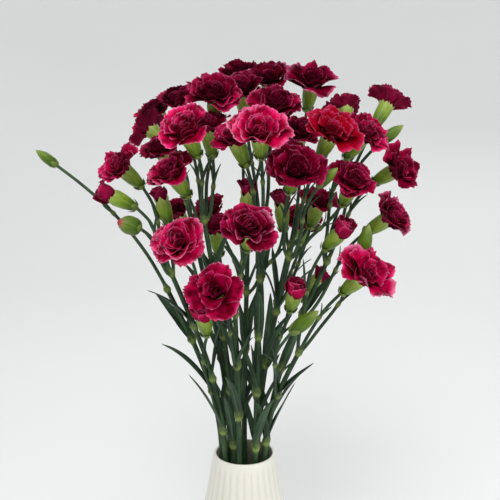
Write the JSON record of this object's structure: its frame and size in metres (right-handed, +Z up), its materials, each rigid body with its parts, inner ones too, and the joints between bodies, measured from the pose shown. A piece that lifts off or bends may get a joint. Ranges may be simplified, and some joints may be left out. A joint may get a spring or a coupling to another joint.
{
  "type": "vase of cut carnations",
  "caption": "Bunch of cut spray carnations with ruffled crimson blooms, green buds and narrow leaves, standing in a tapered ribbed ceramic vase.",
  "frame": {"origin": "middle of the vase's foot, on the surface that it stands on", "axes": "+Z up; -Y the front of the bunch; +X its right seen from the front"},
  "size_m": [0.3707, 0.2321, 0.6039],
  "materials": {
    "glaze": "satin",
    "stem": "matte",
    "petals": "matte",
    "bud": "matte"
  },
  "bodies": {
    "root": {"bloom_a2": "petals", "bloom_b1": "petals", "bloom_b2": "petals", "bloom_b4": "petals", "bloom_b5": "petals", "bloom_c1": "petals", "bloom_c2": "petals", "bloom_c3": "petals", "bloom_c4": "petals", "bloom_c5": "petals", "bloom_d1": "petals", "bloom_d2": "petals", "bloom_d3": "petals", "bloom_d4": "petals", "bloom_e1": "petals", "bloom_e2": "petals", "bloom_e3": "petals", "bloom_e4": "petals", "bloom_f1": "petals", "bloom_f2": "petals", "bloom_f3": "petals", "bloom_f4": "petals", "bloom_g1": "petals", "bloom_g2": "petals", "bloom_g3": "petals", "bloom_g4": "petals", "bloom_h1": "petals", "bloom_h2": "petals", "bloom_h4": "petals", "bloom_h5": "petals", "bloom_i1": "petals", "bloom_i2": "petals", "bloom_i3": "petals", "bloom_i4": "petals", "bloom_j1": "petals", "bloom_j2": "petals", "bloom_k1": "petals", "bloom_k2": "petals", "bloom_k3": "petals", "bloom_k4": "petals", "bloom_k5": "petals", "bloom_k6": "petals", "bud_a1": "bud", "bud_b3": "bud", "bud_h3": "bud", "bud_i5": "bud", "bud_j3": "bud", "bud_j4": "bud", "stem_a": "stem", "stem_b": "stem", "stem_c": "stem", "stem_d": "stem", "stem_e": "stem", "stem_f": "stem", "stem_g": "stem", "stem_h": "stem", "stem_i": "stem", "stem_j": "stem", "stem_k": "stem", "vase": "glaze"}
  },
  "joints": []
}
